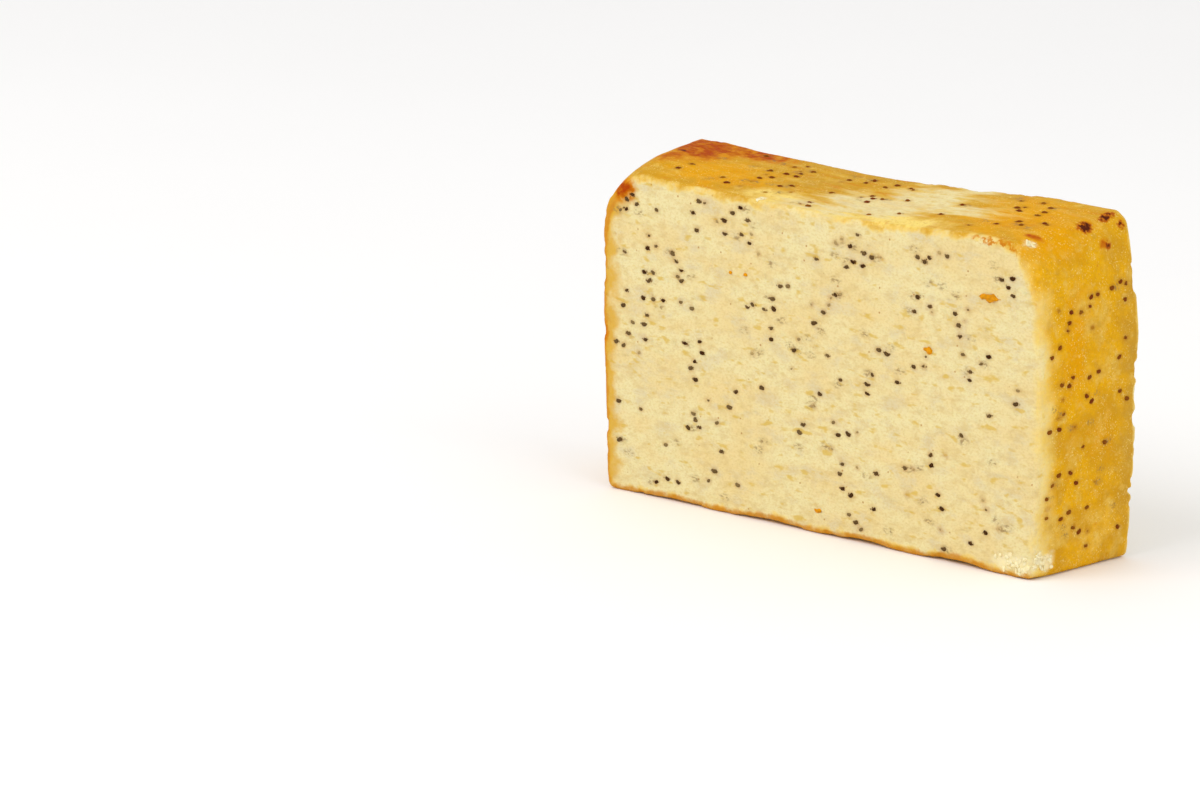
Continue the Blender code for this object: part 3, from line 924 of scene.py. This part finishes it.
def dry_crumb(colours):
    finish = Finish("dry_crumb", colours, roughness=0.55, specular=0.5, glow=LOOSE_GLOW)
    finish.colour = finish.blend(finish.cloudy(*CRUMB_TINT), "loose_crumb", "crumb_warm")
    return finish.done(finish.clouds(size=0.25, detail=3), strength=0.6, millimetres=0.1)


def seed_group(draw, start):
    """The spots of a single seed, a pair or a row of three that starts at this spot."""
    kind = draw.random()
    many = 3 if kind < ROW_SHARE else 2 if kind < ROW_SHARE + PAIR_SHARE else 1
    heading = draw.uniform(0, 2 * math.pi)
    group = []
    for step in range(many):
        bend = heading + draw.uniform(-ROW_BEND, ROW_BEND)
        stride = SEED_GAP * draw.uniform(*STRIDE)
        group.append(start + Vector((math.cos(bend), math.sin(bend))) * step * stride)
    return group


def seed_spots(draw, count, width, height):
    """Spots for seeds on a rectangle about its middle."""
    spots = []
    while len(spots) < count:
        start = Vector((draw.uniform(-0.5, 0.5) * width, draw.uniform(-0.5, 0.5) * height))
        for spot in seed_group(draw, start):
            inside = abs(spot.x) < width / 2 and abs(spot.y) < height / 2
            if inside and all((spot - other).length > SEED_GAP for other in spots):
                spots.append(spot)
    return spots[:count]


def fine_spots(draw, count, width, height, taken):
    """Spots for finer seeds, many of which gather near those already taken."""
    spots = []
    while len(spots) < count:
        spot = Vector((draw.uniform(-0.5, 0.5) * width, draw.uniform(-0.5, 0.5) * height))
        if draw.random() < GATHERED_SHARE:
            near = draw.choice(taken)
            spot = near + Vector((draw.gauss(0, GATHERED_REACH), draw.gauss(0, GATHERED_REACH)))
        inside = abs(spot.x) < width / 2 and abs(spot.y) < height / 2
        if inside and all((spot - other).length > FINE_SEED_GAP for other in spots + taken):
            spots.append(spot)
    return spots


def seeded_surfaces(form):
    """For each surface: a middle outside it, two directions with the size along each, and the way in."""
    wide = FRONT_RIGHT - FRONT_LEFT - 2 * SEED_MARGIN
    deep = form.thickness - 2 * SEED_MARGIN
    tall = form.front_height - 2 * SEED_MARGIN
    side_tall = tall - CORNER_MARGIN
    side_middle = (form.front_height - CORNER_MARGIN) / 2
    x, y, z = Vector((1, 0, 0)), Vector((0, 1, 0)), Vector((0, 0, 1))
    front = Vector(((FRONT_LEFT + FRONT_RIGHT) / 2, -form.thickness, form.front_height / 2))
    back = Vector(((BACK_LEFT + BACK_RIGHT) / 2, form.thickness, form.front_height / 2))
    top = Vector((0, 0, form.back_height + form.thickness))
    left = Vector((BACK_LEFT - form.thickness, 0, side_middle))
    right = Vector((BACK_RIGHT + form.thickness, 0, side_middle))
    step = Vector(STEP_TO_FRAME)
    return {
        "front": (front + step, x, wide, z, tall, y),
        "back": (back + step, x, wide, z, tall, -y),
        "top": (top + step, x, wide - 2 * CORNER_MARGIN, y, deep, -z),
        "left": (left + step, y, deep, z, side_tall, x),
        "right": (right + step, y, deep, z, side_tall, -x),
    }


def seed_place(draw, size, place, normal, sink):
    """Where one seed lies, as a matrix: a little tilted, and sunk in the surface."""
    lean = [draw.uniform(-SEED_TILT, SEED_TILT) for _ in range(2)]
    tilt = Euler((*lean, draw.uniform(-SEED_SWING, SEED_SWING)))
    half = size * draw.uniform(*SEED_SPREAD)
    facing = normal.to_track_quat("Z", "Y").to_matrix() @ tilt.to_matrix()
    centre = Matrix.Translation(place - normal * sink * MM)
    return centre @ facing.to_4x4() @ Matrix.Diagonal((*half, 1.0))


def seed_places(form, sizes, loaf):
    """Where each seed lies, its veil and whether it is in the crust, and where the knife smeared some."""
    size = Vector((sizes.seed_length, sizes.seed_breadth, sizes.seed_depth))
    skin = BVHTree.FromObject(loaf, bpy.context.evaluated_depsgraph_get())
    draw, fine_draw = random.Random(SEED_DRAW), random.Random(FINE_SEED_DRAW)
    places, veils, in_crust, smears = [], [], [], []
    for surface, (middle, right, width, upward, height, inward) in seeded_surfaces(form).items():
        shown = seed_spots(draw, SEED_COUNTS[surface], width, height)
        fine = fine_spots(fine_draw, FINE_SEED_COUNTS[surface], width, height, shown)
        deep = fine_spots(fine_draw, DEEP_SEED_COUNTS[surface], width, height, shown + fine)
        smudges = fine_spots(fine_draw, SMUDGE_COUNTS[surface], width, height, shown + fine + deep)
        for spot in smudges:
            smears.append(skin.ray_cast((middle + right * spot.x + upward * spot.y) * MM, inward)[0])
        kinds = (
            (shown, draw, SHOWN_SINK, SHOWN_VEIL),
            (fine, fine_draw, FINE_SINK, FINE_VEIL),
            (deep, fine_draw, DEEP_SINK, DEEP_VEIL),
        )
        for spots, chance, sinks, covers in kinds:
            for spot in spots:
                start = (middle + right * spot.x + upward * spot.y) * MM
                place, normal, _, _ = skin.ray_cast(start, inward)
                sink = fine_draw.uniform(*sinks)
                places.append(seed_place(chance, size, place, normal, sink))
                veils.append(fine_draw.uniform(*covers))
                in_crust.append(float(surface not in ("front", "back")))
                if fine_draw.random() < SMEARED_SHARE:
                    smears.append(place + right * fine_draw.choice((-1, 1)) * SMEAR_SHIFT * MM)
    return places, {"veil": veils, "in_crust": in_crust}, smears


def one_seed():
    """A poppy seed of unit half sizes: a round bead, hollowed a little on one side like a kidney."""
    deselect_all()
    segments, rings = SEED_FACETS
    bpy.ops.mesh.primitive_uv_sphere_add(segments=segments, ring_count=rings, radius=1.0)
    seed = bpy.context.object
    points = mesh_points(seed.data)
    hollow = np.exp(-((points[:, 0] / HOLLOW_WIDTH) ** 2)) * smooth(points[:, 1], 0.0, 1.0)
    points[:, 1] -= HOLLOW_DEPTH * hollow
    points[:, 2] *= 1 - SEED_THINNING * np.abs(points[:, 0])
    move_points(seed.data, points)
    return seed


def copies_joined(master, places, name, marks=None):
    """One mesh that holds a copy of the master at each of these places, each with its own marks."""
    points = mesh_points(master.data)
    # Blender lists a new sphere's faces in another order from run to run, so they are sorted.
    faces = sorted(list(face.vertices) for face in master.data.polygons)
    ones = np.column_stack((points, np.ones(len(points))))
    all_points = np.concatenate([ones @ np.array(place).T[:, :3] for place in places])
    all_faces = [
        [corner + copy * len(points) for corner in face] for copy in range(len(places)) for face in faces
    ]
    mesh = bpy.data.meshes.new(name)
    mesh.from_pydata(all_points.tolist(), [], all_faces)
    mesh.shade_smooth()
    for mark, values in (marks or {}).items():
        store(mesh, mark, np.repeat(values, len(points)))
    bpy.data.objects.remove(master, do_unlink=True)
    piece = bpy.data.objects.new(name, mesh)
    bpy.context.scene.collection.objects.link(piece)
    return piece


def spread_marks(loaf, name, centres, half):
    """Marks the loaf round each of these centres, by 1 at the centre and less and less away from it."""
    tree = KDTree(len(loaf.data.vertices))
    for vert in loaf.data.vertices:
        tree.insert(vert.co, vert.index)
    tree.balance()
    marks = np.zeros(len(loaf.data.vertices))
    for centre in centres:
        for spot, index, _ in tree.find_range(centre, 2 * max(half) * MM):
            offset = [(a - b) / (size * MM) for a, b, size in zip(spot, centre, half)]
            marks[index] = max(marks[index], math.exp(-sum(part * part for part in offset)))
    store(loaf.data, name, marks)


def dress(piece, material, standing_for="loaf"):
    """Gives the piece its finish and its place in the frame."""
    piece.data.materials.clear()
    piece.data.materials.append(material)
    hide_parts(standing_for)
    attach(piece, "root")


class LOAF_OT_bake(bpy.types.Operator):
    """Bakes the slice's body of crumb and crust"""

    bl_idname = "loaf.bake"
    bl_label = "Crumb and crust"

    def execute(self, context):
        scene = context.scene
        loaf = bake_loaf(loaf_form(scene.loaf_sizes), scene.loaf_sizes)
        dress(loaf, crumb_and_crust(scene.loaf_colours))
        return {"FINISHED"}


class LOAF_OT_seeds(bpy.types.Operator):
    """Sows the poppy seeds in both cut faces and the crust, and stains the crumb round them"""

    bl_idname = "loaf.seeds"
    bl_label = "Poppy seeds"

    def execute(self, context):
        scene = context.scene
        loaf = bpy.data.objects["loaf_crumb"]
        places, marks, smears = seed_places(loaf_form(scene.loaf_sizes), scene.loaf_sizes, loaf)
        seeds = copies_joined(one_seed(), places, "poppy_seeds", marks)
        move_points(seeds.data, within_box(mesh_points(seeds.data) / MM) * MM)
        dress(seeds, seed_coat(scene.loaf_colours))
        bare = [place.translation for place, veil in zip(places, marks["veil"]) if veil < CAKED_VEIL]
        spread_marks(loaf, "stain", [place.translation for place in places], STAIN_HALF)
        spread_marks(loaf, "caked", bare, CAKED_HALF)
        spread_marks(loaf, "smear", smears, SMEAR_HALF)
        return {"FINISHED"}


class LOAF_OT_zest(bpy.types.Operator):
    """Lays the shreds of peel in the shown cut face"""

    bl_idname = "loaf.zest"
    bl_label = "Zest"

    def execute(self, context):
        deselect_all()
        bpy.ops.mesh.primitive_ico_sphere_add(subdivisions=3, radius=1.0)
        shred = bpy.context.object
        points = mesh_points(shred.data)
        points[:, 2] *= 1 - PEEL_TAPER * np.abs(points[:, 0])
        move_points(shred.data, points)
        places = [
            Matrix.Translation(Vector(centre) * MM) @ Matrix.Diagonal((*(Vector(half) * MM), 1.0))
            for centre, half in ZEST
        ]
        zest = copies_joined(shred, places, "zest")
        points = mesh_points(zest.data) / MM
        edge = PEEL_EDGE * noise_at(points, *PEEL_NOISE)
        normals = mesh_normals(zest.data)
        points = within_box(points + normals * edge[:, None] * PEEL_SPREAD)
        move_points(zest.data, points * MM)
        dress(zest, peel(context.scene.loaf_colours))
        return {"FINISHED"}


class LOAF_OT_crumbs(bpy.types.Operator):
    """Scatters the crumbs that cling to the broken corners"""

    bl_idname = "loaf.crumbs"
    bl_label = "Loose crumbs"

    def execute(self, context):
        scene = context.scene
        loaf = bpy.data.objects["loaf_crumb"]
        crumbly = np.empty(len(loaf.data.vertices), np.float32)
        loaf.data.attributes["crumbly"].data.foreach_get("value", crumbly)
        spots = np.flatnonzero(crumbly > CRUMBLY_ENOUGH).tolist()
        draw = random.Random(CRUMB_DRAW)
        places = []
        for spot in draw.sample(spots, min(scene.loaf_sizes.loose_crumbs, len(spots))):
            vert = loaf.data.vertices[spot]
            half = Vector([draw.uniform(*reach) for reach in CRUMB_HALF]) * MM
            facing = vert.normal.to_track_quat("Z", "Y").to_matrix()
            lean = [draw.uniform(-CRUMB_TILT, CRUMB_TILT) for _ in range(2)]
            turn = (facing @ Euler((*lean, draw.uniform(0, math.pi))).to_matrix()).to_4x4()
            places.append(Matrix.Translation(vert.co) @ turn @ Matrix.Diagonal((*half, 1.0)))
        deselect_all()
        bpy.ops.mesh.primitive_ico_sphere_add(subdivisions=2, radius=1.0)
        crumbs = copies_joined(bpy.context.object, places, "loose_crumbs")
        points = mesh_points(crumbs.data) / MM
        normals = mesh_normals(crumbs.data)
        points += normals * (CRUMB_LUMPS * noise_at(points, *CRUMB_NOISE))[:, None]
        move_points(crumbs.data, within_box(points) * MM)
        dress(crumbs, dry_crumb(scene.loaf_colours))
        return {"FINISHED"}


def pale_floor(stage):
    finish = Finish("pale_floor", stage, roughness=0.75, specular=0.5)
    shade = [part * FLOOR_DARKENED for part in stage.floor]
    finish.colour = finish.blend(finish.clouds(size=180, detail=3), "floor", shade)
    return finish.done()


def lay_floor(stage):
    """A round floor whose rim turns up in a wide sweep."""
    deselect_all()
    bpy.ops.mesh.primitive_circle_add(vertices=FLOOR_SIDES, radius=stage.floor_radius, fill_type="NGON")
    floor = name_piece(bpy.context.object, "floor")
    bpy.ops.object.mode_set(mode="EDIT")
    bpy.ops.mesh.select_all(action="SELECT")
    bpy.ops.mesh.inset(thickness=stage.floor_radius * FLOOR_INSET)
    bpy.ops.mesh.select_mode(type="EDGE")
    bpy.ops.mesh.select_all(action="DESELECT")
    bpy.ops.object.mode_set(mode="OBJECT")
    rim = stage.floor_radius * RIM_START
    for edge in floor.data.edges:
        edge.select = all(floor.data.vertices[end].co.length > rim for end in edge.vertices)
    bpy.ops.object.mode_set(mode="EDIT")
    reach = stage.floor_radius
    for step in range(RIM_STEPS):
        turn, next_turn = (math.pi / 2 * part / RIM_STEPS for part in (step, step + 1))
        rise = RIM_SWEEP * (math.cos(turn) - math.cos(next_turn))
        out = RIM_SWEEP * (math.sin(next_turn) - math.sin(turn))
        bpy.ops.mesh.extrude_edges_move(TRANSFORM_OT_translate={"value": (0, 0, rise)})
        grow = (reach + out) / reach
        bpy.ops.transform.resize(value=(grow, grow, 1), center_override=(0, 0, 0))
        reach += out
    bpy.ops.object.mode_set(mode="OBJECT")
    floor.data.shade_smooth()
    floor.data.materials.append(pale_floor(stage))


def soft_light(name, spot, size, power):
    deselect_all()
    facing = (Vector(LIGHT_AIM) - Vector(spot)).to_track_quat("-Z", "Y").to_euler()
    bpy.ops.object.light_add(type="AREA", location=spot, rotation=facing)
    light = bpy.context.object
    light.name = name
    light.data.size = size
    light.data.energy = power


def place_camera(stage):
    facing = (Vector(CAMERA_AIM) - Vector(CAMERA_SPOT)).to_track_quat("-Z", "Y").to_euler()
    bpy.ops.object.camera_add(location=CAMERA_SPOT, rotation=facing)
    camera = bpy.context.object
    camera.data.lens = stage.lens
    camera.data.sensor_width = SENSOR_WIDTH
    camera.data.clip_end = FAR_END
    bpy.context.scene.camera = camera


class LOAF_OT_stage(bpy.types.Operator):
    """Sets up the pale floor, the soft lights and the camera"""

    bl_idname = "loaf.stage"
    bl_label = "Stage"

    def execute(self, context):
        stage = context.scene.loaf_stage
        lay_floor(stage)
        soft_light("key_light", KEY_SPOT, KEY_SIZE, stage.key_power)
        soft_light("fill_light", FILL_SPOT, FILL_SIZE, stage.fill_power)
        world = bpy.data.worlds.new("soft_sky")
        world.use_nodes = True
        sky = world.node_tree.nodes["Background"]
        sky.inputs["Color"].default_value = (1.0, 1.0, 1.0, 1.0)
        sky.inputs["Strength"].default_value = stage.sky_strength
        context.scene.world = world
        context.scene.view_settings.view_transform = "Standard"
        place_camera(stage)
        return {"FINISHED"}


OPERATORS = (LOAF_OT_bake, LOAF_OT_seeds, LOAF_OT_zest, LOAF_OT_crumbs, LOAF_OT_stage)
SETTINGS = {"loaf_sizes": LoafSizes, "loaf_colours": LoafColours, "loaf_stage": LoafStage}


class LOAF_PT_panel(bpy.types.Panel):
    """Lists the loaf's pieces and their settings"""

    bl_idname = "LOAF_PT_panel"
    bl_label = "Poppy Seed Loaf"
    bl_space_type = "VIEW_3D"
    bl_region_type = "UI"
    bl_category = "Loaf"

    def draw(self, context):
        layout = self.layout
        for operator in OPERATORS:
            layout.operator(operator.bl_idname)
        for name, group in SETTINGS.items():
            box = layout.box()
            for setting in group.__annotations__:
                box.prop(getattr(context.scene, name), setting)


def register():
    for group in (*SETTINGS.values(), *OPERATORS, LOAF_PT_panel):
        bpy.utils.register_class(group)
    for name, group in SETTINGS.items():
        setattr(bpy.types.Scene, name, PointerProperty(type=group))


def unregister():
    for name in SETTINGS:
        delattr(bpy.types.Scene, name)
    for group in (LOAF_PT_panel, *reversed(OPERATORS), *reversed(SETTINGS.values())):
        bpy.utils.unregister_class(group)


def main():
    register()
    bpy.ops.loaf.bake()
    bpy.ops.loaf.seeds()
    bpy.ops.loaf.zest()
    bpy.ops.loaf.crumbs()
    bpy.ops.loaf.stage()


if __name__ == "__main__":
    main()
